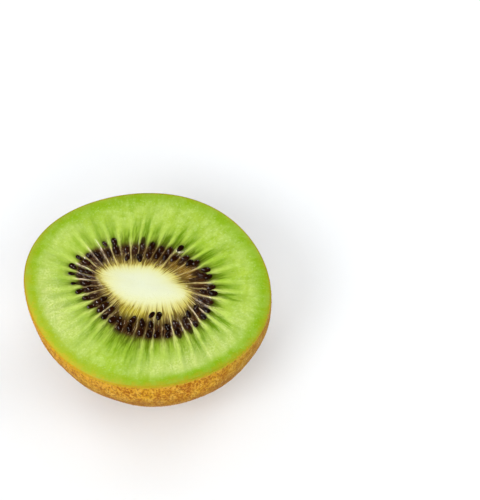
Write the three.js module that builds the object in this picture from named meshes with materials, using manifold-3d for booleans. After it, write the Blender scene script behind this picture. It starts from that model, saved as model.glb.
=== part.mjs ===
// Half of a green kiwi fruit, cut across its middle and standing on its stem end, cut face up.
// Millimetres, +Z up. The origin is the middle of the small flat stem scar that it stands on.
import * as THREE from 'three';
import { mergeVertices } from 'three/addons/utils/BufferGeometryUtils.js';
import Module from 'manifold-3d';

const wasm = await Module();
wasm.setup();

// Driving dimensions of the whole half
const HEIGHT = 30.6; // stem scar to cut face
const LEAN = 1.5; // the fruit's axis runs off plumb: the cut face sits this far to -X of the scar
const FULLNESS = 2.1; // 2 is an ellipsoid's side, more is a barrel's
const SKIN_STEPS = 15; // rings of facets from the scar to the cut
const SKIN_SIDES = 84;
const RIM_ROUND = 0.5; // the cut edge's rounding
const RIM_SHOULDER = 0.3; // of the rounding, at its middle
// The skin's swellings: waves round the fruit that wind as they go down (radians a millimetre)
const SKIN_LUMPS = [
  { size: 0.25, around: 4, winding: 0, start: 0 },
  { size: 0.11, around: 5, winding: 0.35, start: 0 },
  { size: 0.11, around: 8, winding: -0.5, start: 1 },
];

// The scar where the stalk was: a flat woody disc that the skin runs up from
const SCAR_RADIUS = 5.2;
const SCAR_EDGE = 0.25; // how far its worn edge stands below the skin

// Ovals seen on the cut face. Each wave is [lobes, size as a share of the radius, degrees of a crest].
const CUT = { long: 27.3, short: 24.2, turn: -10, x: -LEAN, y: 0, waves: [[3, 0.007, 34], [4, 0.013, -15]] };
const CORE = {
  long: 10.4, short: 4.9, turn: -15, x: -LEAN - 0.7, y: 0.6, waves: [[3, 0.03, 50], [4, 0.045, -8]],
};
const SEED_RING = { long: 16.1, short: 11.2, turn: -20, x: -LEAN - 0.75, y: 0.3, waves: [[3, 0.05, 50]] };

// The pale core runs down through the flesh and tapers towards the scar
const CORE_BOTTOM = 4.2; // above the scar's flat end
const CORE_CROWN = 0.3; // it stands a little proud of the cut
const CORE_CROWN_SHARE = 0.82; // of its width at the cut
const CORE_STEPS = 9;
const CORE_SIDES = 48;
const FIT_GAP = 0.3; // between the core and the flesh round it
const HOLE_TOP = HEIGHT + 2; // the core's hole is cut from well above the flesh

// Seeds lie along the rays between the core and the seed ring, each half sunk in its chamber
const CHAMBERS = 39;
const CHAMBER_START = 0.68; // of a chamber's width, for the first one
const CHAMBER_JITTER = 0.4;
const CHAMBER_DRAW = 222;
const RAY_CROWDING = 0.098; // evens out the spacing round the oval
const SEED = { halfLength: 1.08, halfWidth: 0.62, halfHeight: 0.58, taper: 0.26, sides: 8, bands: 4 };
const SEED_SINK = 0.1; // its middle lies this far below the cut
const SEED_SPACING = 1.45;
// Each row: how far out along its ray, the spread of that, the share of chambers that have one,
// its place beside the ray, and the draw that settles all three
const SEED_ROWS = [
  { out: 0.84, spread: 0.18, share: 1.0, beside: 0, draw: 349 },
  { out: 0.5, spread: 0.18, share: 0.95, beside: 0, draw: 293 },
  { out: 0.64, spread: 0.24, share: 0.7, beside: 0.75, draw: 216 },
  { out: 0.3, spread: 0.14, share: 0.4, beside: 0, draw: 214 },
];
// Three seeds that lie across the rays: one in a clear pocket, two close under the core
const STRAY_SEEDS = [[7.2, 10.0], [1.3, -6.6], [2.8, -6.9]];
const STRAY_HEADING = Math.PI / 3;
// Stretches of the ring where no seed has grown: x, y and radius
const SEEDLESS = [[5.4, 4.4, 2.75], [8.9, 2.9, 0.9], [-6.3, -5.5, 1.8], [-14.5, 9.7, 1.1], [-6.3, 10.9, 0.8]];

const degrees = Math.PI / 180;

// A repeatable number from 0 to 1 for item n of a draw
function chance(n, draw) {
  const wave = Math.sin(n * 12.9898 + draw * 78.233) * 43758.5453;
  return wave - Math.floor(wave);
}

// The point at angle u of an oval, drawn in to a share of its size. Its waves fade as it shrinks.
function ovalPoint(oval, u, share = 1, grow = 0) {
  let swell = 1;
  for (const [lobes, size, crest] of oval.waves) {
    swell += size * share * Math.cos(lobes * (u - crest * degrees));
  }
  const across = share * (oval.long * swell + grow) * Math.cos(u);
  const along = share * (oval.short * swell + grow) * Math.sin(u);
  const turn = oval.turn * degrees;
  return new THREE.Vector2(
    across * Math.cos(turn) - along * Math.sin(turn),
    across * Math.sin(turn) + along * Math.cos(turn),
  );
}

// A closed geometry with shared corners and no triangle without width
function welded(geometry) {
  geometry.deleteAttribute('normal');
  geometry.deleteAttribute('uv');
  const merged = mergeVertices(geometry, 1e-5);
  const kept = [];
  for (let i = 0; i < merged.index.count; i += 3) {
    const [a, b, c] = [merged.index.getX(i), merged.index.getX(i + 1), merged.index.getX(i + 2)];
    if (a !== b && b !== c && c !== a) {
      kept.push(a, b, c);
    }
  }
  merged.setIndex(kept);
  return merged;
}

// Turns a profile of [share of the oval, height] about +Z, then bends each ring of it into shape
function turnedBody(profile, sides, place) {
  const geometry = new THREE.LatheGeometry(profile.map(([share, z]) => new THREE.Vector2(share, z)), sides);
  geometry.rotateX(Math.PI / 2);
  const at = geometry.attributes.position;
  for (let i = 0; i < at.count; i += 1) {
    const share = Math.hypot(at.getX(i), at.getY(i));
    const u = Math.atan2(at.getY(i), at.getX(i));
    const [x, y, z] = place(share, u, at.getZ(i));
    at.setXYZ(i, x, y, z);
  }
  return welded(geometry);
}

function solidOf(geometry) {
  const mesh = new wasm.Mesh({
    numProp: 3,
    vertProperties: new Float32Array(geometry.attributes.position.array),
    triVerts: new Uint32Array(geometry.index.array),
  });
  return new wasm.Manifold(mesh);
}

function geometryOf(solid) {
  const { vertProperties, triVerts } = solid.getMesh();
  const geometry = new THREE.BufferGeometry();
  geometry.setAttribute('position', new THREE.BufferAttribute(new Float32Array(vertProperties), 3));
  geometry.setIndex(new THREE.BufferAttribute(new Uint32Array(triVerts), 1));
  geometry.computeVertexNormals();
  return geometry;
}

// The share of the cut's size that the fruit has at a height above the scar
function fullness(z) {
  const down = (HEIGHT - z) / HEIGHT;
  return (1 - down ** FULLNESS) ** (1 / FULLNESS);
}

// How far above the pole the skin's curve is as wide as the scar
function scarRise() {
  return HEIGHT * (1 - (1 - (SCAR_RADIUS / CUT.long) ** FULLNESS) ** (1 / FULLNESS));
}

function skinLump(u, z) {
  return SKIN_LUMPS.reduce((sum, wave) => (
    sum + wave.size * Math.sin(wave.around * u + wave.winding * z + wave.start)
  ), 0);
}

// The whole half without its core: stem scar, skin, rounded cut edge and flat cut
function bodyGeometry() {
  const profile = [[0, 0], [SCAR_RADIUS / CUT.long, 0]];
  const lowest = Math.asin(1 - (SCAR_EDGE + scarRise()) / HEIGHT);
  for (let step = 0; step <= SKIN_STEPS; step += 1) {
    const z = HEIGHT * (1 - Math.sin(lowest * (1 - step / SKIN_STEPS)));
    const cutZ = Math.min(z, HEIGHT - RIM_ROUND);
    profile.push([fullness(cutZ), cutZ]);
  }
  profile.push([1 - RIM_SHOULDER * RIM_ROUND / CUT.long, HEIGHT - RIM_SHOULDER * RIM_ROUND]);
  profile.push([1 - RIM_ROUND / CUT.long, HEIGHT], [0, HEIGHT]);
  return turnedBody(profile, SKIN_SIDES, (share, u, z) => {
    const rise = Math.min(z / HEIGHT, 1);
    const point = ovalPoint(CUT, u, share);
    point.setLength(point.length() + share * Math.sin(Math.PI * rise) * skinLump(u, z));
    return [point.x + CUT.x * rise, point.y + CUT.y * rise, z];
  });
}

// The core's column, or the hole for it when it is grown by the fit's gap
function coreGeometry(grow, top, crownShare) {
  const bottom = CORE_BOTTOM - grow;
  const profile = [[0, bottom]];
  for (let step = 1; step <= CORE_STEPS; step += 1) {
    const angle = (step / CORE_STEPS) * Math.PI / 2;
    profile.push([Math.sin(angle), HEIGHT - (HEIGHT - bottom) * Math.cos(angle)]);
  }
  profile.push([crownShare, top], [0, top]);
  return turnedBody(profile, CORE_SIDES, (share, u, z) => {
    const point = ovalPoint(CORE, u, share, grow);
    const rise = Math.min(z / HEIGHT, 1);
    return [point.x + CORE.x * rise, point.y + CORE.y * rise, z];
  });
}

// Where every seed lies on the cut, as x, y and the heading of its long axis
function seedPlaces() {
  const places = STRAY_SEEDS.map(([x, y]) => ({ x: x + CUT.x, y, heading: STRAY_HEADING }));
  for (const row of SEED_ROWS) {
    for (let chamber = 0; chamber < CHAMBERS; chamber += 1) {
      const jitter = CHAMBER_JITTER * (chance(chamber, CHAMBER_DRAW) - 0.5);
      const even = 2 * Math.PI * (chamber + CHAMBER_START + jitter) / CHAMBERS;
      const u = even + RAY_CROWDING * Math.sin(2 * even);
      const start = ovalPoint(CORE, u).add(new THREE.Vector2(CORE.x, CORE.y));
      const ray = ovalPoint(SEED_RING, u).add(new THREE.Vector2(SEED_RING.x, SEED_RING.y)).sub(start);
      const heading = ray.angle();
      const out = row.out + row.spread * chance(chamber, row.draw + 2);
      const beside = row.beside * (chamber % 2 ? 1 : -1);
      const x = start.x + ray.x * out - beside * Math.sin(heading);
      const y = start.y + ray.y * out + beside * Math.cos(heading);
      const clear = places.every((other) => Math.hypot(x - other.x, y - other.y) > SEED_SPACING);
      const grown = SEEDLESS.every(([atX, atY, radius]) => Math.hypot(x - atX, y - atY) > radius);
      if (clear && grown && chance(chamber, row.draw + 1) <= row.share) {
        places.push({ x, y, heading });
      }
    }
  }
  return places;
}

// One seed: an ellipsoid with a narrower inner end, a little over half of it below the cut
function seedGeometry({ x, y, heading }) {
  const geometry = new THREE.SphereGeometry(1, SEED.sides, SEED.bands);
  geometry.rotateX(Math.PI / 2);
  const at = geometry.attributes.position;
  for (let i = 0; i < at.count; i += 1) {
    const width = SEED.halfWidth * (1 + SEED.taper * at.getX(i));
    at.setXYZ(i, at.getX(i) * SEED.halfLength, at.getY(i) * width, at.getZ(i) * SEED.halfHeight);
  }
  geometry.rotateZ(heading);
  geometry.translate(x, y, HEIGHT - SEED_SINK);
  return welded(geometry);
}

function fleshGeometry() {
  const hole = solidOf(coreGeometry(FIT_GAP, HOLE_TOP, 1));
  let flesh = solidOf(bodyGeometry()).subtract(hole);
  for (const place of seedPlaces()) {
    flesh = flesh.add(solidOf(seedGeometry(place)));
  }
  return geometryOf(flesh);
}

function piece(name, geometry, color, roughness) {
  const material = new THREE.MeshStandardMaterial({ color, roughness, metalness: 0 });
  const mesh = new THREE.Mesh(geometry, material);
  mesh.name = name;
  return mesh;
}

const kiwiHalf = new THREE.Group();
kiwiHalf.add(piece('flesh', fleshGeometry(), 0x9ccb3a, 0.45));
kiwiHalf.add(piece('core', coreGeometry(0, HEIGHT + CORE_CROWN, CORE_CROWN_SHARE), 0xeef3cf, 0.5));

export default kiwiHalf;
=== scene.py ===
import math

import bpy
import numpy as np
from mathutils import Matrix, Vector


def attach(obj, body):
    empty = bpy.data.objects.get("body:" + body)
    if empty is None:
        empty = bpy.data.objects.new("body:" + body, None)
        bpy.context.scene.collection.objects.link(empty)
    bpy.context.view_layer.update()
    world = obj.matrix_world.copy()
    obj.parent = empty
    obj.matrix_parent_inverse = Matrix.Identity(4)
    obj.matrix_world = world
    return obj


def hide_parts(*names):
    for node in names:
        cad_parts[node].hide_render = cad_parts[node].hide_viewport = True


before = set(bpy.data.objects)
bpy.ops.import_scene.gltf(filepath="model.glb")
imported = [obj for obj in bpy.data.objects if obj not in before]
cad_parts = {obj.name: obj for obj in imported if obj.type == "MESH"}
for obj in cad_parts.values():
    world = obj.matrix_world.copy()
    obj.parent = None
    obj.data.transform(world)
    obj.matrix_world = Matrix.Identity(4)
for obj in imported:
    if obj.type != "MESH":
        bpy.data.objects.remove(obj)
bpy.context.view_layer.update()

# Half of a green kiwi fruit on its stem scar, cut face up. Lengths are millimetres in the shape
# functions, and turn into Blender's metres where a mesh is made.
MM = 0.001
TURN = 2 * math.pi

# The fruit's own sizes, the same as its solids have
HEIGHT = 30.6
LEAN = 1.5  # the cut lies this far to -X of the scar
FULLNESS = 2.1  # 2 is an ellipsoid's side, more is a barrel's
SCAR_RADIUS = 5.2
SKIN_LUMPS = (  # size, waves round, winding, start
    (0.25, 4, 0.0, 0.0), (0.11, 5, 0.35, 0.0), (0.11, 8, -0.5, 1.0),
)
# Ovals on the cut. Each wave is its lobes, its size as a share of the radius, and a crest's degrees.
CUT = {
    "long": 27.3, "short": 24.2, "turn": -10, "x": -LEAN, "y": 0.0,
    "waves": ((3, 0.007, 34), (4, 0.013, -15)),
}
CORE = {
    "long": 10.4, "short": 4.9, "turn": -15, "x": -LEAN - 0.7, "y": 0.6,
    "waves": ((3, 0.03, 50), (4, 0.045, -8)),
}
SEED_RING = {
    "long": 16.1, "short": 11.2, "turn": -20, "x": -LEAN - 0.75, "y": 0.3,
    "waves": ((3, 0.05, 50),),
}
CHAMBERS = 39  # round the core, each with its jelly and seeds
CHAMBER_START = 0.68  # of a chamber's width, for the first one
CHAMBER_JITTER = 0.4
CHAMBER_DRAW = 222
RAY_CROWDING = 0.098  # evens out the chambers round the oval
SEED_HALF = (1.08, 0.62, 0.58)
SEED_TAPER = 0.26
SEED_SINK = 0.1  # a seed's middle lies this far below the cut
SEED_SPACING = 1.45
SEED_ROWS = (  # out along the ray, its spread, share of chambers, place beside the ray, draw
    (0.84, 0.18, 1.0, 0.0, 349),
    (0.5, 0.18, 0.95, 0.0, 293),
    (0.64, 0.24, 0.7, 0.75, 216),
    (0.3, 0.14, 0.4, 0.0, 214),
)
STRAY_SEEDS = ((7.2, 10.0), (1.3, -6.6), (2.8, -6.9))  # these lie across the rays
STRAY_HEADING = math.pi / 3
SEEDLESS = (  # stretches of the ring where no seed has grown: x, y and radius
    (5.4, 4.4, 2.75), (8.9, 2.9, 0.9), (-6.3, -5.5, 1.8), (-14.5, 9.7, 1.1), (-6.3, 10.9, 0.8),
)

# The finer make-up of the cut face
COLUMNS = 600  # steps round the cut
CUT_ROWS = (  # from, to and number of the rows of points, by the way out
    (0.06, 0.8, 14), (0.82, 1.2, 16), (1.22, 2.1, 42), (2.115, 2.94, 48), (2.955, 3.0, 5),
)
CORE_INNER = 0.72  # from here out, lines in the core run straight on along the rays
CORE_CROWN = 0.25
CHAMBER_DEPTH = 0.28
WALL_RISE = 0.08
GLINT_RISE = 0.16
JELLY_RIPPLE = 0.05
RING_HOLLOW = 0.12
FLESH_SWELL = 0.05
EDGE_FALL = 0.04
SUNK_ROWS = ((51, 0.34), (52, 0.52), (53, 0.7), (54, 0.95))  # draw, and how far out along the ray
SUNK_SPREAD = 0.14
SUNK_SHARE = 0.55  # of the chambers have one in each row
SUNK_CLEAR = 1.1  # of any seed that shows
LIE_REACH = 3.0  # an oval's tone stops this far from its middle, along X and along Y
SEED_HALO = (1.4, 0.85)  # half sizes of the dark jelly round a seed
SUNK_HALF = (1.1, 0.6)
GOLDEN_POCKET = (((6.1, 4.5, -0.58),), 4.4, 1.7)  # clear by the core: x, y, heading; half sizes
YELLOW_POCKET = (((-4.5, -5.8, -0.2),), 4.0, 1.3)
GLINT_WALLS = (  # pale streaks painted along walls as highlights on the wet walls: the chamber a wall comes after, and from where to where along its ray
    (15, 0.1, 1.2), (16, 0.05, 1.0), (18, 0.25, 0.9), (20, 0.3, 0.9), (22, 0.75, 1.0),
    (25, 0.55, 0.85), (35, 0.4, 0.95), (36, 0.15, 0.9), (37, 0.6, 1.15), (38, 0.05, 1.0),
)
GLEAM = (0, 1.1)  # a painted highlight curls round this stray seed at this distance, a reflection on its jelly
GLEAM_WIDTH = 0.2

# What differs from side to side, at every eighth of a turn from the right
CORE_SHORT = (0.13, 0.16, -0.02, -0.02, 0.24, -0.06, -0.1, -0.08)  # how early the core's colour ends
JELLY_EARLY = (0.06, 0.2, 0.16, 0.1, 0.46, 0.2, 0.0, -0.1)  # how much further in the jelly starts
JELLY_REACH = (0.04, -0.15, 0.0, -0.2, -0.18, -0.16, 0.18, 0.08)  # how much further out it goes
JELLY_WIDTH = (-0.02, 0.0, 0.0, 0.0, -0.05, 0.0, 0.25, 0.1)  # how much more of its chamber it fills
WALL_SHINE = (3.4, 1.1, 0.7, 2.2, 1.4, 2.1, 0.0, 2.6)  # how bright the walls between chambers are
FRINGES = (1.55, 0.75, 1.3, 0.35, 0.05, 0.6, 0.95, 0.5)  # how dark the flesh is right past the jelly
SHEEN_BY_SIDE = (0.4, 0.05, 0.15, 0.1, 0.45, 1.1, -0.1, 1.2)  # how pale the outer flesh is painted, as a painted sheen
RIM_TINGE = (0.6, 0.15, 0.15, 0.2, 0.35, 0.8, 0.9, 1.0)  # how olive it turns under the skin
RIPEST = 228  # degrees round from the right to the side where the skin and flesh are ripest
RIPE_NARROW = 6  # the more, the narrower the ripe side

# What chance settles for each chamber, wall, spike or seed
DRAWS = {
    "jelly start": 61, "jelly end": 62, "jelly width": 63, "fringe reach": 64, "jelly strength": 65,
    "inside end": 66, "wall past the ring": 67, "fringe": 68, "wall width": 69, "wall end": 70,
    "wall in the ring": 71, "seed size": 71, "seed tilt": 72, "seed turn": 73, "seed depth": 74,
    "seed tone": 75, "seed x": 76, "seed y": 77, "broad spikes": 81, "fine spikes": 82, "lines": 83,
    "threads": 85,
}

# Each seed differs a little from the rest
SEED_MESH = (18, 12)  # points round it, and steps along it
SEED_SIZE = (0.84, 0.24)  # the smallest, as a share, and how much larger the largest is
SEED_TILT = 0.5
SEED_TURN = 0.8
SEED_SHIFT = 0.3
SEED_DEPTH = 0.5  # of the deepest, below the others

# The skin, its scar and its hairs
SKIN_THICK = 0.3
SKIN_COLUMNS = 480
RIM_ROUND = 0.5
RIM_PROFILE = (  # over the cut edge: share of its rounding below the cut, and how far in
    (0.55, 0.01), (0.2, 0.07), (0.02, 0.16), (-0.02, 0.24), (0.0, 0.3),
)
LINING = 0.15  # how far the skin's inside reaches into the flesh
SKIN_HEIGHTS = (0.02, 84, 0.02)  # rows down the side: the first, how many, the lowest
LINING_HEIGHTS = (0.05, 12, 0.03)
FLESH_HEIGHTS = (0.04, 8, 1.2 / HEIGHT)
SCAR_COLUMNS = 96
SCAR_ROWS = 18
SCAR_GROOVE = 0.16
SCAR_DISH = 0.22
SCAR_COLLAR = ((-0.15, 0.2), (-0.1, 0.7), (0.4, 1.0))  # how far in from the edge, and height
FUZZ = (  # name, hairs, shortest and longest, degrees off the skin, draw
    ("fuzz_short", 18000, (0.25, 0.6), (6, 30), 11),
    ("fuzz_long", 9000, (0.6, 1.0), (4, 18), 12),
)
HAIR_RADIUS = 0.022
HAIR_TAPER = 0.8  # of the radius is left half way up
HAIR_ROOT = 0.06  # under the skin
HAIR_SWIRL = 0.75  # how much their headings differ, in radians
HAIR_DROOP = (-0.2, 0.7)  # the tip's rise as a share of the root's
HAIR_CROWDING = 0.92  # below 1 puts more of them low down
HAIR_HEIGHTS = (1.0, HEIGHT - 0.5)
HAIR_POINTS = 7
HAIR_FACES = ((0, 2, 1), (0, 1, 4, 3), (1, 2, 5, 4), (2, 0, 3, 5), (3, 4, 6), (4, 5, 6), (5, 3, 6))


# ---------------- shape functions

def smooth(low, high, value):
    """A value's way from low to high, eased from 0 to 1."""
    t = np.clip((value - low) / (high - low), 0.0, 1.0)
    return t * t * (3 - 2 * t)


def window(value, low, full, fading, gone):
    """1 where a value is from full to fading, eased to 0 at low and at gone."""
    return smooth(low, full, value) * (1 - smooth(fading, gone, value))


def chance(n, draw):
    """A repeatable number from 0 to 1 for item n of a draw, which is a number or named in DRAWS."""
    draw = DRAWS.get(draw, draw)
    wave = np.sin(np.asarray(n) * 12.9898 + draw * 78.233) * 43758.5453
    return wave - np.floor(wave)


def uneven(n, draw):
    """A repeatable number from -0.5 to 0.5."""
    return chance(n, draw) - 0.5


def turned(x, y, angle):
    return x * math.cos(angle) - y * math.sin(angle), x * math.sin(angle) + y * math.cos(angle)


def swell(shape, u, share=1.0):
    """How far an oval's waves take it out at angle u."""
    out = 1.0
    for lobes, size, crest in shape["waves"]:
        out = out + size * share * np.cos(lobes * (u - math.radians(crest)))
    return out


def oval(shape, u, share=1.0, grow=0.0):
    """The x and y of an oval's edge at angle u, drawn in to a share of its size."""
    across = share * (shape["long"] * swell(shape, u, share) + grow) * np.cos(u)
    along = share * (shape["short"] * swell(shape, u, share) + grow) * np.sin(u)
    return turned(across, along, math.radians(shape["turn"]))


def oval_on_cut(shape, u, share=1.0, grow=0.0):
    """An oval's edge, moved to where it lies on the cut."""
    x, y = oval(shape, u, share, grow)
    return x + shape["x"], y + shape["y"]


def fullness(z):
    """How wide the fruit is at height z, as a share of the cut."""
    down = np.clip((HEIGHT - z) / HEIGHT, 0.0, 1.0)
    return (1 - down ** FULLNESS) ** (1 / FULLNESS)


def body_point(u, z, inset=0.0, share=None):
    """A point of the fruit's side at angle u and height z, a little under the skin if inset."""
    share = fullness(z) if share is None else share
    x, y = oval(CUT, u, share)
    rise = np.clip(z / HEIGHT, 0.0, 1.0)
    lump = 0.0
    for size, around, winding, start in SKIN_LUMPS:
        lump = lump + size * np.sin(around * u + winding * z + start)
    radius = np.maximum(np.hypot(x, y), 1e-6)
    stretch = 1 + (share * np.sin(math.pi * rise) * lump - inset) / radius
    return np.stack([x * stretch + CUT["x"] * rise, y * stretch, z + 0 * u], -1)


def even_angle(u):
    """Undoes the crowding of the rays, so that chambers are evenly spaced in what it gives."""
    even = np.array(u, dtype=float)
    for _ in range(6):
        even = u - RAY_CROWDING * np.sin(2 * even)
    return even


def ripeness(u):
    """1 at the side of the fruit that is ripest, falling to 0 round from there."""
    return (0.5 + 0.5 * np.cos(u - math.radians(RIPEST))) ** RIPE_NARROW


def ray_at(u):
    """Where the ray at angle u leaves the core, its way to the seed ring's edge, and its heading."""
    start = np.array(oval_on_cut(CORE, u))
    ray = np.array(oval_on_cut(SEED_RING, u)) - start
    return start, ray, math.atan2(ray[1], ray[0])


def chamber_angles():
    """The middle of every chamber, as an evened angle and as a true one."""
    k = np.arange(CHAMBERS)
    even = TURN * (k + CHAMBER_START + CHAMBER_JITTER * uneven(k, CHAMBER_DRAW)) / CHAMBERS
    return even, even + RAY_CROWDING * np.sin(2 * even)


def seed_places():
    """Where every seed lies on the cut: x, y and the heading of its long axis."""
    places = [(x + CUT["x"], y, STRAY_HEADING) for x, y in STRAY_SEEDS]
    angles = chamber_angles()[1]
    for out, spread, share, beside, draw in SEED_ROWS:
        for chamber, u in enumerate(angles):
            start, ray, heading = ray_at(u)
            reach = out + spread * chance(chamber, draw + 2)
            side = beside * (1 if chamber % 2 else -1)
            x = start[0] + ray[0] * reach - side * math.sin(heading)
            y = start[1] + ray[1] * reach + side * math.cos(heading)
            clear = all(math.hypot(x - px, y - py) > SEED_SPACING for px, py, _ in places)
            grown = all(math.hypot(x - px, y - py) > radius for px, py, radius in SEEDLESS)
            if clear and grown and chance(chamber, draw + 1) <= share:
                places.append((x, y, heading))
    return places


# ---------------- meshes

def new_object(name, data):
    thing = bpy.data.objects.new(name, data)
    bpy.context.scene.collection.objects.link(thing)
    return thing


def new_piece(name, points, faces, material, fields=None):
    """An object made of points in millimetres, with fields as its mesh's attributes."""
    mesh = bpy.data.meshes.new(name)
    mesh.from_pydata(np.asarray(points) * MM, [], faces)
    for field, values in (fields or {}).items():
        values = np.asarray(values, dtype=np.float32)
        kind, part = ("FLOAT_VECTOR", "vector") if values.ndim == 2 else ("FLOAT", "value")
        mesh.attributes.new(field, kind, "POINT").data.foreach_set(part, values.ravel())
    mesh.polygons.foreach_set("use_smooth", [True] * len(mesh.polygons))
    mesh.materials.append(material)
    mesh.update()
    return new_object(name, mesh)


def ring_faces(rows, columns, first=0):
    """Quads between rows of points that each run once round."""
    row = np.arange(rows - 1)[:, None] * columns + first
    here = np.arange(columns)[None, :]
    there = (here + 1) % columns
    quads = np.stack([row + here, row + there, row + columns + there, row + columns + here], -1)
    return quads.reshape(-1, 4).tolist()


def closed_rings(rings, flip=False):
    """Points and faces of a closed body from rings of points, with a middle point at each end."""
    columns = rings[0].shape[0]
    points = np.concatenate([rings[0].mean(0)[None], *rings, rings[-1].mean(0)[None]])
    faces = ring_faces(len(rings), columns, 1)
    last = len(points) - 1
    around = np.arange(columns)
    beside = (around + 1) % columns
    bottom = np.stack([0 * around, beside + 1, around + 1], -1)
    top = np.stack([last + 0 * around, last - columns + around, last - columns + beside], -1)
    faces = bottom.tolist() + faces + top.tolist()
    if flip:
        faces = [face[::-1] for face in faces]
    return points, faces


def with_ends(values):
    """Values of closed_rings' points from a table of rings, with the end points' means."""
    values = np.asarray(values, dtype=float)
    return np.concatenate([[values[0].mean()], values.ravel(), [values[-1].mean()]])


# ---------------- the cut face

class CutFace:
    """Heights and colour fields over the cut, along straight rays from the core's edge. out is 0 in
    the middle of the core, 1 at its edge, 2 at the seed ring's edge and 3 at the skin."""

    def __init__(self):
        self.u = np.arange(COLUMNS) * TURN / COLUMNS
        self.core = np.array(oval_on_cut(CORE, self.u))
        self.ring = np.array(oval_on_cut(SEED_RING, self.u))
        self.rim_u = self.where_rays_meet_skin()
        self.rim = np.array(oval_on_cut(CUT, self.rim_u, 1.0, -SKIN_THICK))
        self.flesh_width = np.hypot(*(self.rim - self.ring))
        self.ray_width = np.hypot(*(self.ring - self.core))
        even = even_angle(self.u) % TURN
        centres = chamber_angles()[0] % TURN
        self.order = np.argsort(centres)
        centres = centres[self.order]
        spread = np.concatenate([centres[-1:] - TURN, centres, centres[:1] + TURN])
        self.place = np.interp(even, spread, np.arange(-1, CHAMBERS + 1))
        self.seeds = np.array(seed_places())
        self.sunk = self.sunk_seeds()

    def where_rays_meet_skin(self):
        """The skin's own angle at the end of each ray, found by halving."""
        ray = self.ring - self.core
        low, high = self.u - 1.0, self.u + 1.0
        for _ in range(40):
            middle = (low + high) / 2
            gap = np.array(oval_on_cut(CUT, middle)) - self.ring
            past = ray[0] * gap[1] - ray[1] * gap[0] > 0
            high = np.where(past, middle, high)
            low = np.where(past, low, middle)
        return (low + high) / 2

    def depth_from_skin(self, x, y):
        """How deep under the skin each point of the cut lies."""
        across, along = turned(x - CUT["x"], y - CUT["y"], -math.radians(CUT["turn"]))
        across = across / CUT["long"]
        along = along / CUT["short"]
        share = np.hypot(across, along) / swell(CUT, np.arctan2(along, across))
        mean = (CUT["long"] + CUT["short"]) / 2
        return np.maximum((1 - share) * mean - SKIN_THICK, 0.0)

    def sunk_seeds(self):
        """Seeds that lie under the surface, and show only as dark shapes."""
        angles = chamber_angles()[1]
        found = []
        for draw, out in SUNK_ROWS:
            for chamber, u in enumerate(angles):
                if chance(chamber, draw) > SUNK_SHARE:
                    continue
                start, ray, heading = ray_at(u)
                reach = out + SUNK_SPREAD * chance(chamber, draw + 10)
                x, y = start + ray * reach
                if np.hypot(self.seeds[:, 0] - x, self.seeds[:, 1] - y).min() > SUNK_CLEAR:
                    found.append((x, y, heading))
        return np.array(found)

    def point(self, out):
        """The x and y of a row of points, one on each ray."""
        if out <= CORE_INNER:
            inner = self.core + (self.ring - self.core) * (CORE_INNER - 1)
            middle = inner.mean(1)[:, None]
            return middle + (inner - middle) * out / CORE_INNER
        if out <= 2:
            return self.core + (self.ring - self.core) * (out - 1)
        return self.ring + (self.rim - self.ring) * (out - 2)

    def along(self, out):
        """How far out a point is along its ray, where 1 is the seed ring's edge."""
        if out <= 2:
            return np.full(COLUMNS, out - 1.0)
        return 1 + (out - 2) * self.flesh_width / self.ray_width

    def lie(self, x, y, places, long, wide):
        """How far each point is inside the nearest of some ovals, from 1 at a middle to 0."""
        best = np.zeros(len(x))
        for px, py, heading in places:
            near = (np.abs(x - px) < LIE_REACH) & (np.abs(y - py) < LIE_REACH)
            along, across = turned(x[near] - px, y[near] - py, -heading)
            tone = np.exp(-((along / long) ** 2 + (across / wide) ** 2))
            best[near] = np.maximum(best[near], tone)
        return best

    def teeth(self, per_chamber, draw):
        """Uneven spikes round the core, some for each chamber, from 0 to 1."""
        step = self.place * per_chamber
        spike = np.floor(step)
        size = chance(spike % (CHAMBERS * per_chamber), draw)
        return size * np.sin(math.pi * (step - spike)) ** 2

    def by_side(self, eighths):
        """The value on each ray, from eight spread evenly round."""
        return np.interp(self.u, np.arange(9) * TURN / 8, [*eighths, eighths[0]])

    def moved_way(self, q):
        """The way along the rays, moved by side to where the core, the jelly and the flesh end."""
        core = self.by_side(CORE_SHORT) * (1 - smooth(0.2, 0.8, q))
        early = self.by_side(JELLY_EARLY) * window(q, -0.1, 0.2, 0.3, 0.75)
        late = self.by_side(JELLY_REACH) * window(q, 0.4, 0.9, 1.2, 2.2)
        return q + core + early - late

    def jelly(self, chamber, off, way, q):
        """How much dark jelly fills each chamber, and how far its shade fringes the flesh past it."""
        start = 0.12 + 0.26 * chance(chamber, "jelly start")
        end = 0.8 + 0.24 * chance(chamber, "jelly end")
        reach = 1.7 + 1.6 * chance(chamber, "fringe reach")
        wide = 0.82 + 0.16 * chance(chamber, "jelly width") + self.by_side(JELLY_WIDTH)
        tight = wide - 0.28 * np.clip((q - 0.9) / 0.9, 0, 1) - 0.2 * np.clip((0.6 - q) / 0.6, 0, 1)
        middle = 1 - smooth(tight - 0.2, tight + 0.2, off)
        gel = middle * (0.8 + 0.2 * chance(chamber, "jelly strength"))
        gel = gel * window(way, start - 0.2, start + 0.2, end - 0.1, end + 0.16)
        fringe = middle * (self.by_side(FRINGES) + 0.4 * chance(chamber, "fringe"))
        fringe = fringe * window(way, end - 0.3, end + 0.1, end + 0.2, reach)
        return gel, fringe

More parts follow.
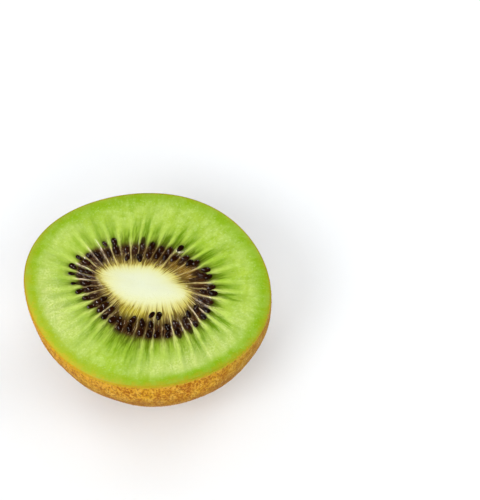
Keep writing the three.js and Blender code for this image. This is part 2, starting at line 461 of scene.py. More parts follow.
    def walls(self, wall, off, way):
        """How bright the walls between chambers are, by one draw inside the ring and one past it."""
        past = np.clip((way - 0.8) / 0.6, 0, 1)
        thin = 0.8 + 0.12 * chance(wall, "wall width") - 0.38 * past
        soft = 0.08 + 0.3 * past
        end = 1.6 + 0.8 * chance(wall, "wall end")
        bright = smooth(thin - soft, thin + soft, off) * window(way, -0.05, 0.2, 1.0, end)
        in_ring = chance(wall, "wall in the ring") ** 1.5
        bright = bright * (chance(wall, "wall past the ring") * past + in_ring * (1 - past))
        return np.clip(bright * self.by_side(WALL_SHINE), 0, 1 - 0.3 * past)

    def painted_glints(self, wall, off, q):
        """Painted highlights: pale streaks along some walls, as glints on the wet walls."""
        best = np.zeros(COLUMNS)
        for after, start, end in GLINT_WALLS:
            shine = window(q, start - 0.05, start + 0.15, end - 0.15, end + 0.1)
            shine = shine * smooth(0.82, 0.95, off)
            best = np.maximum(best, np.where(wall == after, shine, 0))
        return best

    def gleam(self, x, y):
        """A painted highlight that curls round the near side of one seed, a reflection on its jelly.
        """
        seed, distance = GLEAM
        dx = x - self.seeds[seed, 0]
        dy = y - self.seeds[seed, 1]
        radius = np.maximum(np.hypot(dx, dy), 0.01)
        return np.exp(-((radius - distance) / GLEAM_WIDTH) ** 2) * smooth(0.0, 0.7, -dy / radius)

    def fields(self, out):
        """What the colours go by on one row of points, by name. Along a ray, q and way run from 0 at
        the core's edge to 1 at the seed ring's. off is 0 in a chamber's middle and 1 at its wall."""
        x, y = self.point(out)
        q = self.along(out)
        wobble = 0.05 * np.sin(7 * self.u + 3 * q) + 0.03 * np.sin(19 * self.u - 5 * q)
        place = self.place + wobble * smooth(0.1, 0.8, q)
        near = np.round(place)
        chamber = self.order[near.astype(int) % CHAMBERS]
        off = np.abs(place - near) * 2
        wall = np.floor(place) % CHAMBERS
        way = self.moved_way(q)
        spikes = 0.5 * self.teeth(2, "broad spikes") + 0.5 * self.teeth(4, "fine spikes")
        brink = way + (0.5 + 0.2 * np.cos(self.u)) * (spikes - 0.38)
        past_core = smooth(-0.1, 0.08, brink)
        threads = self.teeth(4, "threads") * smooth(-0.05, 0.1, brink) * (1 - smooth(0.1, 0.55, way))
        gel, fringe = self.jelly(chamber, off, way, q)
        among_seeds = smooth(0.05, 0.3, q)
        return {
            "core": 1 - past_core,
            "lines": self.teeth(4, "lines") * past_core * (1 - smooth(0.35, 0.8, way)),
            "threads": threads,
            "inside": 1 - smooth(0.85, 1.1 + 0.2 * chance(wall, "inside end"), way),
            "gel": gel,
            "fringe": fringe,
            "bright": self.walls(wall, off, way),
            # painted highlights: pale streaks on wet walls, and the gleam round one seed
            "painted_glints": np.maximum(self.painted_glints(wall, off, q), self.gleam(x, y)),
            "halo": self.lie(x, y, self.seeds, *SEED_HALO) * among_seeds,
            "sunk": smooth(0.25, 0.6, self.lie(x, y, self.sunk, *SUNK_HALF)) * among_seeds,
            "golden": self.lie(x, y, *GOLDEN_POCKET),
            "yellow": self.lie(x, y, *YELLOW_POCKET),
            "ripe": ripeness(self.rim_u),
            # painted sheen: how much paler the outer flesh is on each side
            "pale": self.by_side(SHEEN_BY_SIDE),
            "tinge": self.by_side(RIM_TINGE),
            "way": way + 0.16 * (spikes - 0.3) * (1 - smooth(0.3, 0.8, way)),
            "rim": self.depth_from_skin(x, y),
        }

    def height(self, out, fields):
        """How far a row of points stands above the flat of the cut."""
        q = self.along(out)
        crown = CORE_CROWN * (1 - smooth(0.3, 1.05, out))
        dip = CHAMBER_DEPTH * (fields["gel"] + 0.3 * fields["fringe"])
        ridge = WALL_RISE * fields["bright"] + GLINT_RISE * fields["painted_glints"]
        ripple = np.sin(53 * self.u + 11 * q) * np.sin(21 * q - 17 * self.u)
        hollow = RING_HOLLOW * window(q, -0.1, 0.4, 0.9, 1.8)
        wave = FLESH_SWELL * np.sin(7 * self.u + 2 * out) * window(out, 1.9, 2.4, 2.7, 2.95)
        fall = EDGE_FALL * smooth(2.92, 3.0, out)
        return crown - dip + JELLY_RIPPLE * fields["gel"] * ripple + ridge - hollow + wave - fall


def heights_down(first, rows, lowest):
    """Heights from just under the cut down to a share of the fruit's, closer together low down."""
    return HEIGHT * (1 - np.sin(np.linspace(first, 1.0, rows) * math.asin(1 - lowest)))


def make_flesh(cut, material):
    """The cut face, closed by the flesh's side just under the skin."""
    rings, tables = [], {}
    for out in np.concatenate([np.linspace(*rows) for rows in CUT_ROWS]):
        fields = cut.fields(out)
        x, y = cut.point(out)
        rings.append(np.stack([x, y, HEIGHT + cut.height(out, fields)], -1))
        reach = out if out < 1 else 1 + cut.along(out)
        fields["ray"] = reach + 0 * cut.u
        for name, values in fields.items():
            tables.setdefault(name, []).append(np.broadcast_to(values, COLUMNS))
    for z in heights_down(*FLESH_HEIGHTS):
        rings.append(body_point(cut.rim_u, z, SKIN_THICK))
        for name, values in tables.items():
            values.append(values[-1] if name in ("way", "ray", "ripe") else np.zeros(COLUMNS))
    points, faces = closed_rings(rings, flip=True)
    fields = {name: with_ends(values) for name, values in tables.items()}
    angle = np.concatenate([[0.0], np.tile(cut.u, len(rings)), [0.0]])
    reach = fields.pop("ray")
    fields["rays"] = np.stack([np.cos(angle), np.sin(angle), reach], -1)
    return new_piece("flesh", points, faces, material, fields)


def unit_ball(around, down):
    """Points and faces of a ball of radius 1, long axis X."""
    v = np.linspace(0, math.pi, down + 1)[1:-1]
    w = np.arange(around) * TURN / around
    rings = [
        np.stack([np.full(around, -math.cos(a)), math.sin(a) * np.cos(w), math.sin(a) * np.sin(w)], -1)
        for a in v
    ]
    points, faces = closed_rings(rings)
    points[0] = (-1, 0, 0)
    points[-1] = (1, 0, 0)
    return points, faces


def joined(parts):
    """Points, faces and tones of many parts as one mesh."""
    points, faces, tones = [], [], []
    count = 0
    for part_points, part_faces, tone in parts:
        points.append(part_points)
        faces.extend([[i + count for i in face] for face in part_faces])
        tones.append(np.full(len(part_points), tone))
        count += len(part_points)
    return np.concatenate(points), faces, np.concatenate(tones)


def make_seeds(cut, material):
    """Each seed has its own size, tilt and depth in the jelly."""
    ball, faces = unit_ball(*SEED_MESH)
    smallest, larger = SEED_SIZE
    parts = []
    for n, (x, y, heading) in enumerate(cut.seeds):
        shape = ball * np.array(SEED_HALF) * (smallest + larger * chance(n, "seed size"))
        shape[:, 1] *= 1 + SEED_TAPER * ball[:, 0]
        shape[:, 2] *= 1 + 0.1 * ball[:, 0]
        shape[:, 2] += SEED_TILT * uneven(n, "seed tilt") * shape[:, 0]
        turn = heading + SEED_TURN * uneven(n, "seed turn")
        px, py = turned(shape[:, 0], shape[:, 1], turn)
        px = px + x + SEED_SHIFT * uneven(n, "seed x")
        py = py + y + SEED_SHIFT * uneven(n, "seed y")
        depth = SEED_SINK + SEED_DEPTH * chance(n, "seed depth") ** 1.3
        pz = shape[:, 2] + HEIGHT - depth
        parts.append((np.stack([px, py, pz], -1), faces, float(chance(n, "seed tone"))))
    points, all_faces, tones = joined(parts)
    return new_piece("seeds", points, all_faces, material, {"tone": tones})


# ---------------- the skin

def make_skin(material):
    """The skin as a thin closed shell: up the outside, over the cut edge and down the inside."""
    around = np.arange(SKIN_COLUMNS)
    u = around * TURN / SKIN_COLUMNS
    outer = heights_down(*SKIN_HEIGHTS)[::-1]
    outer = outer[outer < HEIGHT - RIM_ROUND]
    rings = [body_point(u, z) for z in outer]
    below = [HEIGHT - z for z in outer]
    for step, inset in RIM_PROFILE:
        rings.append(body_point(u, HEIGHT - step * RIM_ROUND, inset, share=1.0))
        below.append(step * RIM_ROUND)
    for z in heights_down(*LINING_HEIGHTS):
        rings.append(body_point(u, z, SKIN_THICK + LINING))
        below.append(0.0)
    last = (len(rings) - 1) * SKIN_COLUMNS
    beside = (around + 1) % SKIN_COLUMNS
    closing = np.stack([last + around, last + beside, beside, around], -1)
    faces = ring_faces(len(rings), SKIN_COLUMNS) + closing.tolist()
    fields = {"below": np.repeat(below, SKIN_COLUMNS), "ripe": np.tile(ripeness(u), len(rings))}
    return new_piece("skin", np.concatenate(rings), faces, material, fields)


def make_scar(material):
    """The woody disc where the stalk was, flat underneath."""
    u = np.arange(SCAR_COLUMNS) * TURN / SCAR_COLUMNS
    rows = []
    for share in np.linspace(0.1, 1.0, SCAR_ROWS):
        wave = 0.5 + 0.5 * np.sin(23 * u + 2 * np.sin(4 * u))
        groove = SCAR_GROOVE * wave * window(share, 0.3, 0.8, 0.85, 1.0)
        dish = SCAR_DISH * (1 - smooth(0.62, 0.9, share)) + 0.05 * np.sin(6 * u) * share
        rows.append((SCAR_RADIUS * share, np.maximum(0.0, dish + groove)))
    for inset, z in SCAR_COLLAR:
        rows.append((SCAR_RADIUS - inset, z + 0 * u))
    rings = [np.stack([radius * np.cos(u), radius * np.sin(u), z], -1) for radius, z in rows]
    points, faces = closed_rings(rings)
    return new_piece("stem_scar", points, faces, material)


def unit(vectors):
    return vectors / np.linalg.norm(vectors, axis=1)[:, None]


def skin_frame(u, z):
    """Points of the skin, and the directions across, up and out of it at each."""
    root = body_point(u, z)
    across = unit(body_point(u + 0.001, z) - root)
    up = unit(body_point(u, z + 0.05) - root)
    normal = unit(np.cross(across, up))
    return root, across, np.cross(normal, across), normal


def make_fuzz(name, count, length, lift, draw, material):
    """Short stiff hairs on the skin, each a bent three-sided spike."""
    rng = np.random.default_rng(draw)
    z = HEIGHT * (1 - rng.random(count * 2) ** HAIR_CROWDING)
    z = z[(z > HAIR_HEIGHTS[0]) & (z < HAIR_HEIGHTS[1])][:count]
    u = rng.random(len(z)) * TURN
    root, across, up, normal = skin_frame(u, z)
    swirl = rng.normal(0, HAIR_SWIRL, len(z))[:, None] + math.pi
    lie = up * np.cos(swirl) + across * np.sin(swirl)
    rise = np.radians(rng.uniform(*lift, len(z)))[:, None]
    long = rng.uniform(*length, len(z))[:, None]
    droop = rise * rng.uniform(*HAIR_DROOP, len(z))[:, None]
    first = lie * np.cos(rise) + normal * np.sin(rise)
    second = lie * np.cos(droop) + normal * np.sin(droop)
    side = unit(np.cross(first, normal))
    over = np.cross(side, first)
    root = root - normal * HAIR_ROOT
    middle = root + first * long * 0.5
    tip = middle + second * long * 0.5
    corners = []
    for centre, radius in ((root, HAIR_RADIUS), (middle, HAIR_RADIUS * HAIR_TAPER)):
        for turn in (0.0, TURN / 3, 2 * TURN / 3):
            corners.append(centre + radius * (side * math.cos(turn) + over * math.sin(turn)))
    points = np.stack([*corners, tip], 1).reshape(-1, 3)
    starts = range(0, len(points), HAIR_POINTS)
    faces = [[start + i for i in face] for start in starts for face in HAIR_FACES]
    tones = np.repeat(rng.random(len(z)), HAIR_POINTS)
    return new_piece(name, points, faces, material, {"tone": tones})


# ---------------- node helpers

def linear(*steps):
    """A colour given as 0 to 255 steps, as Blender's linear values."""
    values = [step / 255 for step in steps]
    return (*[v / 12.92 if v <= 0.04045 else ((v + 0.055) / 1.055) ** 2.4 for v in values], 1.0)


class Tree:
    """A short way to add and join nodes. A value is a number, a node's output, or a string, which
    names a mesh attribute. A tone is a tuple of 0 to 255 steps, or a node's colour."""

    def __init__(self, tree):
        self.tree = tree

    def fill(self, sockets, values):
        """Sets each named socket to its value, or joins it to its node."""
        for name, value in values.items():
            if isinstance(value, str):
                value = self.add("Attribute", attribute_name=value)["Fac"]
            if isinstance(value, bpy.types.NodeSocket):
                self.tree.links.new(value, sockets[name])
            else:
                sockets[name].default_value = value

    def add(self, kind, inputs=None, **settings):
        """A new node's outputs."""
        node = self.tree.nodes.new("ShaderNode" + kind)
        for name, value in settings.items():
            setattr(node, name, value)
        self.fill(node.inputs, inputs or {})
        return node.outputs

    def math(self, operation, first, second, clamp=False):
        inputs = {0: first, 1: second}
        return self.add("Math", inputs, operation=operation, use_clamp=clamp)[0]

    def times(self, *factors):
        product = factors[0]
        for factor in factors[1:]:
            product = self.math("MULTIPLY", product, factor)
        return product

    def total(self, base, *terms):
        """The base with terms added, each a value and how much of it."""
        for value, amount in terms:
            base = self.math("ADD", base, self.math("MULTIPLY", value, amount))
        return base

    def span(self, value, low, high, start=0.0, end=1.0):
        """A value's way from low to high, as a smooth way from start to end."""
        return self.add("MapRange", {
            "Value": value, "From Min": low, "From Max": high, "To Min": start, "To Max": end,
        }, interpolation_type="SMOOTHSTEP")[0]

    def mix(self, factor, first, second):
        tones = [linear(*tone) if isinstance(tone, tuple) else tone for tone in (first, second)]
        return self.add("Mix", {0: factor, 6: tones[0], 7: tones[1]}, data_type="RGBA")[2]

    def layered(self, colour, *layers):
        """A colour under layers of others, each a tone and the masks whose product lays it on."""
        for tone, *masks in layers:
            colour = self.mix(self.times(*masks), colour, tone)
        return colour

    def ramp(self, value, *stops):
        """A colour that changes with a value, by stops of value and tone."""
        low, high = stops[0][0], stops[-1][0]
        share = self.add("MapRange", {"Value": value, "From Min": low, "From Max": high})[0]
        colour = self.add("ValToRGB", {0: share})[0]
        steps = colour.node.color_ramp.elements
        steps.remove(steps[1])
        steps[0].color = linear(*stops[0][1:])
        for at, *tone in stops[1:]:
            steps.new((at - low) / (high - low)).color = linear(*tone)
        return colour

    def noise(self, vector, scale, detail, roughness):
        inputs = {"Vector": vector, "Scale": scale, "Detail": detail, "Roughness": roughness}
        return self.add("TexNoise", inputs)["Fac"]

    def group(self, group, place, **values):
        return self.add("Group", {"Place": place, **values}, node_tree=group)

    def bump(self, height, strength, distance):
        """A normal from a height, where distance is in millimetres."""
        inputs = {"Height": height, "Strength": strength, "Distance": distance * MM}
        return self.add("Bump", inputs)[0]

    def place(self):
        return self.add("TexCoord")["Object"]

    def drawn_out_place(self):
        """The place in a frame that draws marks out to twice their length from stem to cut."""
        return self.add("VectorMath", {0: self.place(), 1: (1, 1, 0.5)}, operation="MULTIPLY")[0]


# ---------------- shared effects

def new_group(name, values, results):
    """A node group with a place and some values going in, and masks or heights coming out. Sizes
    are in millimetres."""
    group = bpy.data.node_groups.new(name, "ShaderNodeTree")
    group.interface.new_socket("Place", in_out="INPUT", socket_type="NodeSocketVector")
    for label, value in values.items():
        socket = group.interface.new_socket(label, in_out="INPUT", socket_type="NodeSocketFloat")
        socket.default_value = value
    for label in results:
        group.interface.new_socket(label, in_out="OUTPUT", socket_type="NodeSocketFloat")
    start = group.nodes.new("NodeGroupInput")
    end = group.nodes.new("NodeGroupOutput")
    return group, Tree(group), start.outputs, end.inputs


def fine_grain_group():
    """Small cells and specks: a mask for colour and a height for bumps."""
    group, tree, given, wanted = new_group(
        "Fine grain", {"Size": 0.3, "Contrast": 0.5}, ("Mask", "Height"),
    )
    scale = tree.math("DIVIDE", 1 / MM, given["Size"])
    cloud = tree.noise(given["Place"], scale, 3.0, 0.6)
    cells = tree.add("TexVoronoi", {"Vector": given["Place"], "Scale": scale}, feature="F1")
    low = tree.total(0.56, (given["Contrast"], -0.1))
    high = tree.total(0.8, (given["Contrast"], -0.15))
    height = tree.total(cloud, (cells["Distance"], -0.4))
    tree.fill(wanted, {"Mask": tree.span(cloud, low, high), "Height": height})
    return group


def mottle_group():
    """Broad soft patches."""
    group, tree, given, wanted = new_group("Mottle", {"Size": 5.0, "Cover": 0.5}, ("Mask",))
    cloud = tree.noise(given["Place"], tree.math("DIVIDE", 1 / MM, given["Size"]), 4.0, 0.55)
    edge = tree.total(0.8, (given["Cover"], -0.6))
    low = tree.math("SUBTRACT", edge, 0.15)
    high = tree.math("ADD", edge, 0.15)
    tree.fill(wanted, {"Mask": tree.span(cloud, low, high)})
    return group


def ray_fibres_group():
    """Fibres that run outwards. Place holds the cosine and sine of the angle, and the way out."""
    group, tree, given, wanted = new_group(
        "Ray fibres", {"Fineness": 30.0, "Streak": 1.0}, ("Mask", "Height"),
    )
    parts = tree.add("SeparateXYZ", {0: given["Place"]})
    stretched = tree.add("CombineXYZ", {
        "X": tree.times(parts["X"], given["Fineness"]),
        "Y": tree.times(parts["Y"], given["Fineness"]),
        "Z": tree.times(parts["Z"], given["Streak"]),
    })[0]
    cloud = tree.noise(stretched, 1.0, 3.0, 0.6)
    tree.fill(wanted, {"Mask": tree.span(cloud, 0.36, 0.64), "Height": cloud})
    return group


def specks_group():
    """Light and dark dabs side by side, as two masks."""
    group, tree, given, wanted = new_group("Specks", {"Size": 0.6}, ("Light", "Dark"))
    cloud = tree.noise(given["Place"], tree.math("DIVIDE", 1 / MM, given["Size"]), 1.5, 0.7)
    tree.fill(wanted, {"Light": tree.span(cloud, 0.5, 0.6), "Dark": tree.span(cloud, 0.5, 0.4)})
    return group


GRAIN = fine_grain_group()
SPECKS = specks_group()
MOTTLE = mottle_group()
FIBRES = ray_fibres_group()


# ---------------- materials

def new_material(name):
    """A material, its tree and its shader's inputs."""
    material = bpy.data.materials.new(name)
    material.use_nodes = True
    return material, Tree(material.node_tree), material.node_tree.nodes["Principled BSDF"].inputs


def flesh_marks(tree):
    """The patterns and measures that the flesh's colours share, by name."""
    place = tree.place()
    rays = tree.add("Attribute", attribute_name="rays")["Vector"]
    marks = {
        "grain": tree.group(GRAIN, place, Size=0.5),
        "fine": tree.group(SPECKS, place, Size=0.45),
    }
    for name, size in (("clouds", 9.0), ("patches", 2.6), ("blotches", 1.3)):
        marks[name] = tree.group(MOTTLE, place, Size=size)["Mask"]
    for name, fineness, streak in (
        ("streaks", 9.0, 1.0), ("fibres", 26.0, 1.4), ("strokes", 32.0, 0.8),
        ("chips", 44.0, 5.0), ("hairlines", 80.0, 2.5),
    ):
        marks[name] = tree.group(FIBRES, rays, Fineness=fineness, Streak=streak)
    return marks


def outer_flesh(tree, marks):
    """The green flesh outside the seed ring, streaked along the rays and speckled, with a painted
    sheen that pales it on some sides and painted glints there.
    """
    streaks, blotches, fine = marks["streaks"], marks["blotches"], marks["fine"]
    outer = tree.span("way", 1.15, 2.2)
    # painted sheen, kept back from the skin
    pale = tree.times("pale", tree.span("rim", 1.5, 4.0))
    ground = tree.ramp(
        "rim", (0.0, 146, 170, 22), (0.5, 142, 176, 14), (1.2, 136, 178, 8),
        (2.5, 144, 186, 16), (5.0, 158, 196, 34), (8.0, 156, 196, 30),
    )
    return tree.layered(
        ground,
        ((190, 214, 94), marks["clouds"], tree.span("rim", 1.0, 4.5, 0.0, 0.4)),
        # painted sheen on the outer flesh
        ((229, 232, 158), pale, outer),
        ((192, 216, 84), streaks["Mask"], tree.span("rim", 1.5, 4.5, 0.0, 0.5)),
        ((134, 178, 24), tree.span(streaks["Height"], 0.48, 0.38, 0.0, 0.3)),
        ((204, 222, 132), marks["patches"], tree.span("rim", 0.5, 4.5, 0.15, 0.38), outer),
        ((194, 218, 86), marks["fibres"]["Mask"], tree.span("rim", 1.5, 5.0, 0.05, 0.3)),
        ((138, 178, 18), tree.total(0.27, (blotches, -0.27))),
        ((122, 164, 12), tree.total(0.2, (marks["hairlines"]["Mask"], -0.2))),
        ((218, 232, 156), marks["grain"]["Mask"], tree.span("rim", 0.6, 3.0, 0.1, 0.3), outer),
        # fine specks that grow with the painted sheen; the light ones are painted glints
        ((146, 182, 46), fine["Dark"], pale, blotches, 0.45),
        ((230, 238, 178), fine["Light"], pale, blotches, outer, 0.3),
    )


def flesh_edge(tree, marks, colour):
    """Under the skin the flesh turns olive, and golden on the ripe side, with a ragged border."""
    edge = tree.total("rim", (marks["blotches"], 0.9), (marks["fine"]["Dark"], 0.5))
    return tree.layered(
        colour,
        ((176, 158, 30), "tinge", tree.span(edge, 1.9, 0.2, 0.0, 0.65)),
        ((188, 196, 44), "ripe", tree.span(edge, 4.6, 0.8, 0.0, 0.7)),
        ((216, 178, 54), "ripe", tree.span(edge, 1.7, 0.3, 0.0, 0.55)),
    )


def seed_ring(tree, marks, colour):
    """Chambers of dark jelly between pale walls, and their shade on the flesh past them."""
    hairlines = marks["hairlines"]
    between = tree.ramp(
        "way", (-0.2, 182, 160, 52), (0.0, 140, 114, 22), (0.2, 120, 90, 12),
        (0.45, 102, 68, 14), (0.85, 100, 68, 22), (1.05, 124, 122, 26), (1.3, 150, 180, 44),
        (1.9, 160, 196, 44),
    )
    fringe_tone = tree.ramp(
        "way", (0.6, 56, 38, 6), (0.9, 72, 66, 6), (1.15, 84, 104, 2),
        (1.6, 98, 138, 0), (2.3, 124, 168, 6),
    )
    fringe = tree.total(0.72, (marks["fibres"]["Mask"], -0.5), (hairlines["Mask"], 0.45))
    fringe = tree.math("MULTIPLY", fringe, "fringe", clamp=True)
    jelly_tone = tree.layered(
        tree.ramp("way", (0.0, 92, 60, 8), (0.25, 62, 32, 2), (0.6, 44, 17, 0)),
        ((142, 98, 42), tree.span(hairlines["Height"], 0.55, 0.64), 0.65),
        ((108, 62, 26), marks["grain"]["Mask"], 0.35),
    )
    golden_tone = tree.mix(hairlines["Mask"], (108, 74, 10), (192, 160, 70))
    wall_tone = tree.ramp(
        "way", (0.0, 228, 214, 122), (0.7, 212, 194, 130), (1.1, 208, 221, 118),
        (1.9, 196, 222, 104),
    )
    return tree.layered(
        colour,
        (between, "inside"),
        (fringe_tone, fringe),
        ((92, 66, 22), "lines", 0.65),
        (jelly_tone, "gel"),
        ((218, 202, 98), "threads"),
        (golden_tone, "golden", 0.85),
        ((34, 12, 0), "halo", 0.75),
        ((36, 12, 0), "sunk", 0.85),
        (wall_tone, "bright", tree.span(marks["chips"]["Height"], 0.4, 0.56, 0.4, 0.95)),
    )


def core_and_painted_glints(tree, marks, colour):
    """The pale core, the strokes that cross its brink, painted highlights along wet walls and round
    one seed, and painted glints on the jelly.
    """
    strokes, chips = marks["strokes"], marks["chips"]["Height"]
    brink = tree.span("way", -0.3, 0.0)
    ink = tree.times(tree.span(strokes["Height"], 0.5, 0.42), brink, tree.span("way", 0.75, 0.35))
    light = tree.times(tree.span(strokes["Height"], 0.5, 0.6), brink, tree.span("way", 0.6, 0.2))
    yellow_tone = tree.mix(strokes["Mask"], (160, 142, 20), (216, 206, 78))
    core_tone = tree.ramp(
        "way", (-1.0, 231, 236, 206), (-0.5, 230, 234, 198), (-0.26, 229, 231, 180),
        (-0.08, 222, 218, 140), (0.1, 208, 197, 98),
    )
    painted_glint_tone = tree.ramp("way", (0.0, 232, 222, 176), (0.9, 238, 216, 198), (1.3, 222, 230, 168))
    glint = tree.times(tree.span(chips, 0.58, 0.66), tree.span("way", 1.05, 0.85))
    return tree.layered(
        colour,
        ((66, 44, 6), ink, 0.85),
        ((224, 210, 118), light, 0.65),
        (yellow_tone, "yellow", 0.8),
        (core_tone, "core"),
        ((150, 132, 52), ink, 0.3),
        # painted highlights on wet walls and round one seed
        (painted_glint_tone, "painted_glints", tree.span(chips, 0.42, 0.54, 0.1, 0.9)),
        ((212, 190, 148), glint, tree.span("way", 0.0, 0.3, 0.0, 0.45)),
    )


def flesh_material():
    material, tree, shader = new_material("kiwi flesh")
    marks = flesh_marks(tree)
    colour = outer_flesh(tree, marks)
    colour = flesh_edge(tree, marks, colour)
    colour = seed_ring(tree, marks, colour)
    colour = core_and_painted_glints(tree, marks, colour)
    grain = marks["grain"]
    relief = tree.total(
        tree.times(grain["Height"], 0.6), (marks["fibres"]["Height"], 0.8),
        (marks["hairlines"]["Height"], 0.35),
    )
    tree.fill(shader, {
        "Base Color": colour,
        "Subsurface Weight": 0.3,
        "Subsurface Radius": (1.0, 1.0, 0.5),
        "Subsurface Scale": 0.25 * MM,
        "Specular IOR Level": 0.1,
        "Roughness": tree.total(0.32, (grain["Mask"], 0.15)),
        "Coat Weight": tree.total(0.1, ("gel", 0.4)),
        "Coat Roughness": 0.07,
        "Normal": tree.bump(relief, 0.6, 0.16),
    })
    return material


def seed_material():
    material, tree, shader = new_material("kiwi seed")
    grain = tree.group(GRAIN, tree.place(), Size=0.22, Contrast=0.6)
    tree.fill(shader, {
        "Base Color": tree.layered(
            tree.mix("tone", (16, 3, 0), (44, 16, 3)),
            ((62, 32, 18), grain["Mask"], 0.3),
        ),
        "Roughness": tree.total(0.22, (grain["Mask"], 0.2)),
        "Specular IOR Level": 0.05,
        "Coat Weight": tree.span("tone", 0.25, 0.7, 0.3, 1.0),
        "Coat IOR": 1.6,
        "Coat Roughness": 0.05,
        "Normal": tree.bump(grain["Height"], 0.35, 0.05),
    })
    return material


def skin_material():
    material, tree, shader = new_material("kiwi skin")
    place = tree.drawn_out_place()
    specks = tree.group(SPECKS, place, Size=0.5)
    dabs = tree.group(SPECKS, place, Size=1.7)
    grain = tree.group(GRAIN, place, Size=0.4, Contrast=0.7)
    patches = tree.group(MOTTLE, place, Size=6.0)
    across = tree.add("SeparateXYZ", {0: place})["X"]
    edge = tree.total("below", (specks["Dark"], 0.6))
    clear_of_specks = tree.span(specks["Dark"], 0.0, 1.0, 0.9, 0.15)
    colour = tree.layered(
        tree.mix(patches["Mask"], (190, 122, 2), (224, 170, 22)),
        ((240, 196, 74), dabs["Light"], 0.6),
        ((178, 100, 0), dabs["Dark"], 0.6),
        ((240, 190, 66), specks["Light"], 0.5),
        ((156, 84, 0), specks["Dark"], 0.7),
        # painted shade: the skin darker low down, where less light reaches
        ((146, 90, 4), tree.span("below", 4.5, 13.0, 0.0, 0.55)),
        # painted shade: the skin darker towards the right, away from the key light
        ((150, 106, 0), tree.span(across, 8 * MM, 24 * MM, 0.0, 0.6)),
        ((202, 170, 44), tree.span(edge, 1.8, 0.5, 0.0, 0.8)),
        ((164, 168, 26), tree.span(edge, 0.8, 0.2)),
        ((226, 166, 30), "ripe", tree.span(edge, 6.0, 1.5), clear_of_specks),
    )
    tree.fill(shader, {
        "Base Color": colour,
        "Roughness": tree.total(0.6, (grain["Mask"], 0.15)),
        "Specular IOR Level": 0.05,
        "Normal": tree.bump(tree.total(grain["Height"], (specks["Light"], 0.5)), 0.8, 0.25),
    })
    return material


def fuzz_material():
    material, tree, shader = new_material("kiwi fuzz")
    place = tree.drawn_out_place()
    dabs = tree.group(SPECKS, place, Size=1.7)
    patches = tree.group(MOTTLE, place, Size=6.0)
    colour = tree.layered(
        tree.mix("tone", (170, 106, 8), (234, 180, 66)),
        ((226, 168, 40), patches["Mask"], 0.3),
        ((246, 206, 108), dabs["Light"], 0.6),
        ((172, 96, 0), dabs["Dark"], 0.6),
    )
    tree.fill(shader, {"Base Color": colour, "Roughness": 0.55, "Specular IOR Level": 0.1})
    return material


def scar_material():
    material, tree, shader = new_material("stem scar")
    place = tree.place()
    grain = tree.group(GRAIN, place, Size=0.4, Contrast=0.6)
    patches = tree.group(MOTTLE, place, Size=2.5)
    colour = tree.layered(
        tree.mix(patches["Mask"], (78, 50, 28), (122, 86, 50)),
        ((160, 122, 80), grain["Mask"], 0.5),
    )
    bump = tree.bump(grain["Height"], 0.8, 0.15)
    tree.fill(shader, {"Base Color": colour, "Roughness": 0.8, "Normal": bump})
    return material


# ---------------- stage

CAMERA_ELEVATION = math.radians(61)
CAMERA_DISTANCE = 620 * MM
CAMERA_LENS = 203.4
AIM_RIGHT = 20.4 * MM  # the view's middle lies this far right of the cut's middle
AIM_UP = 8.2 * MM
FLOOR_HALF = 3000
WORLD_LIGHT = 0.4
LIGHTS_AIM = Vector((0, 0, 20)) * MM
LIGHTS = (  # place in metres, size across, power, whether it is only there for reflections
    ("key", (-1.1, -1.3, 2.0), 1.3, 24.0, False),
    ("front", (0.3, -1.9, 1.6), 1.3, 13.0, False),
    ("fill", (1.7, -0.6, 1.7), 1.3, 10.0, False),
    ("back left", (-1.3, 1.5, 1.7), 1.3, 8.0, False),
    ("back right", (1.3, 1.4, 1.9), 1.3, 8.0, False),
    ("top", (-0.1, -0.3, 2.6), 1.3, 8.0, False),
    ("key gleam", (-1.1, -1.3, 2.0), 0.5, 180.0, True),
    ("left gleam", (-0.9, 0.3, 0.9), 0.3, 6.0, True),
    ("back gleam", (0.6, 1.2, 0.7), 0.2, 4.0, True),
)


def turned_to(direction):
    """The rotation that points a camera or a light along a direction."""
    return direction.to_track_quat("-Z", "Y").to_euler()


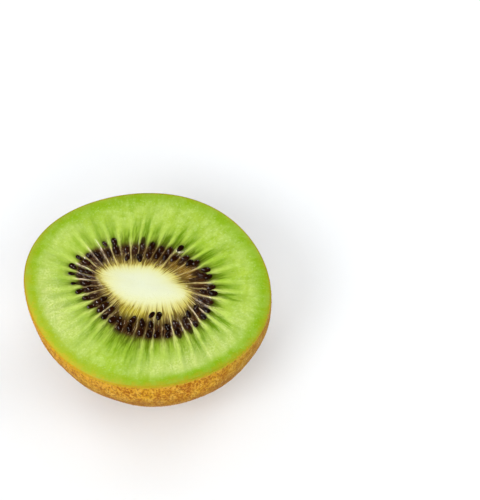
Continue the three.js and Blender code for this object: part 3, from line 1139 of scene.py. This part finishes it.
def make_camera():
    forward = Vector((0, math.cos(CAMERA_ELEVATION), -math.sin(CAMERA_ELEVATION)))
    upward = Vector((0, math.sin(CAMERA_ELEVATION), math.cos(CAMERA_ELEVATION)))
    middle = Vector((-LEAN, 0, HEIGHT)) * MM
    aim = middle + Vector((AIM_RIGHT, 0, 0)) + upward * AIM_UP
    data = bpy.data.cameras.new("camera")
    data.lens = CAMERA_LENS
    data.clip_start = 0.02
    data.clip_end = 20
    camera = new_object("camera", data)
    camera.location = aim - forward * CAMERA_DISTANCE
    camera.rotation_euler = turned_to(forward)
    bpy.context.scene.camera = camera


def make_light(name, place, size, power, gleam):
    data = bpy.data.lights.new(name, "AREA")
    data.shape = "DISK"
    data.size = size
    data.energy = power
    light = new_object(name, data)
    light.visible_diffuse = not gleam
    light.visible_glossy = gleam
    light.location = place
    light.rotation_euler = turned_to(LIGHTS_AIM - Vector(place))


def make_world():
    """Soft light from all round, that looks pure white behind the floor."""
    world = bpy.data.worlds.new("studio")
    world.use_nodes = True
    tree = Tree(world.node_tree)
    seen = tree.add("LightPath")["Is Camera Ray"]
    tree.fill(world.node_tree.nodes["Background"].inputs, {
        "Color": (1, 1, 1, 1),
        "Strength": tree.math("MAXIMUM", WORLD_LIGHT, seen),
    })
    bpy.context.scene.world = world
    world.cycles_visibility.glossy = False


def make_stage():
    material, tree, shader = new_material("pale floor")
    tree.fill(shader, {
        "Base Color": (0.94, 0.97, 0.99, 1), "Roughness": 0.9, "Specular IOR Level": 0.0,
    })
    half = FLOOR_HALF
    points = [(-half, -half, 0), (half, -half, 0), (half, half, 0), (-half, half, 0)]
    floor = new_piece("floor", points, [(0, 1, 2, 3)], material)
    for light in LIGHTS:
        make_light(*light)
    make_world()
    bpy.context.scene.view_settings.view_transform = "Standard"


# ---------------- the kiwi half

cut = CutFace()
flesh = make_flesh(cut, flesh_material())
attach(flesh, "root")
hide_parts("flesh", "core")

seeds = make_seeds(cut, seed_material())
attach(seeds, "root")
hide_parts("flesh")

skin = make_skin(skin_material())
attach(skin, "root")
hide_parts("flesh")

scar = make_scar(scar_material())
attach(scar, "root")
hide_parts("flesh")

hair = fuzz_material()
for name, count, length, lift, draw in FUZZ:
    fuzz = make_fuzz(name, count, length, lift, draw, hair)
    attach(fuzz, "root")
    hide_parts("flesh")

make_stage()
make_camera()
